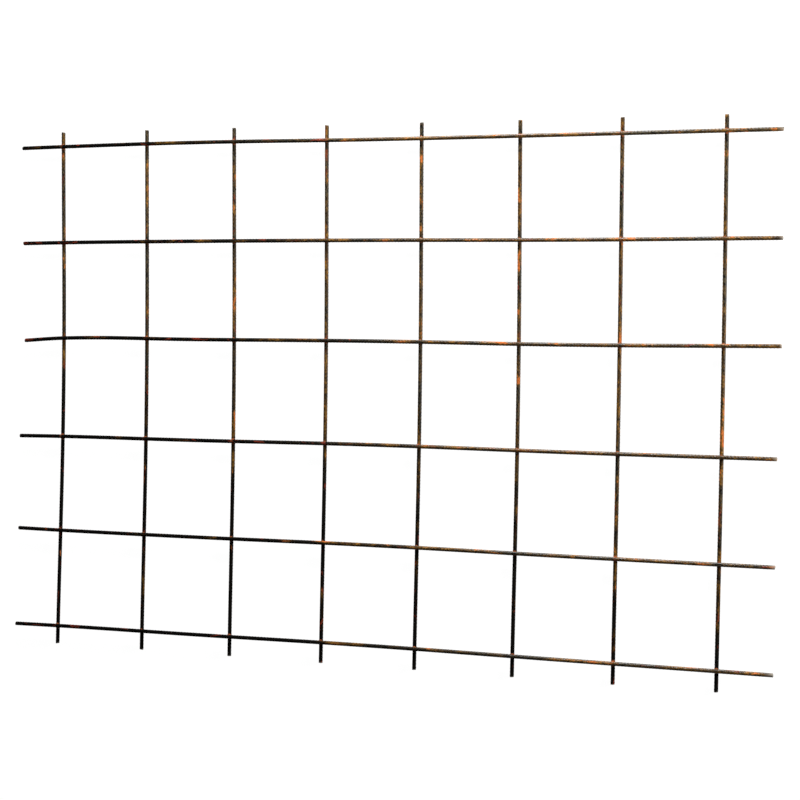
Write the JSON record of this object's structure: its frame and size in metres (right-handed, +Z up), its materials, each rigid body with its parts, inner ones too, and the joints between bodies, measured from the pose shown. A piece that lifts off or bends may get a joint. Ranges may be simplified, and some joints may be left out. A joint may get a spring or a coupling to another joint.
{
  "type": "welded wire mesh panel",
  "caption": "Flat rectangular panel of steel wires laid crosswise in two layers and spot welded at every crossing, with free wire ends on all four sides.",
  "frame": {"origin": "middle of the panel, on the plane that its lower wires rest on", "axes": "+X along the long wires, +Y along the cross wires, +Z up, out of the face that the long wires are on"},
  "size_m": [1.2, 0.8, 0.011],
  "materials": {
    "rusty_wire": "bare rolled steel wire, dark mill scale with patches of orange-brown rust"
  },
  "bodies": {
    "root": {"mesh_panel": "rusty_wire"}
  },
  "joints": []
}
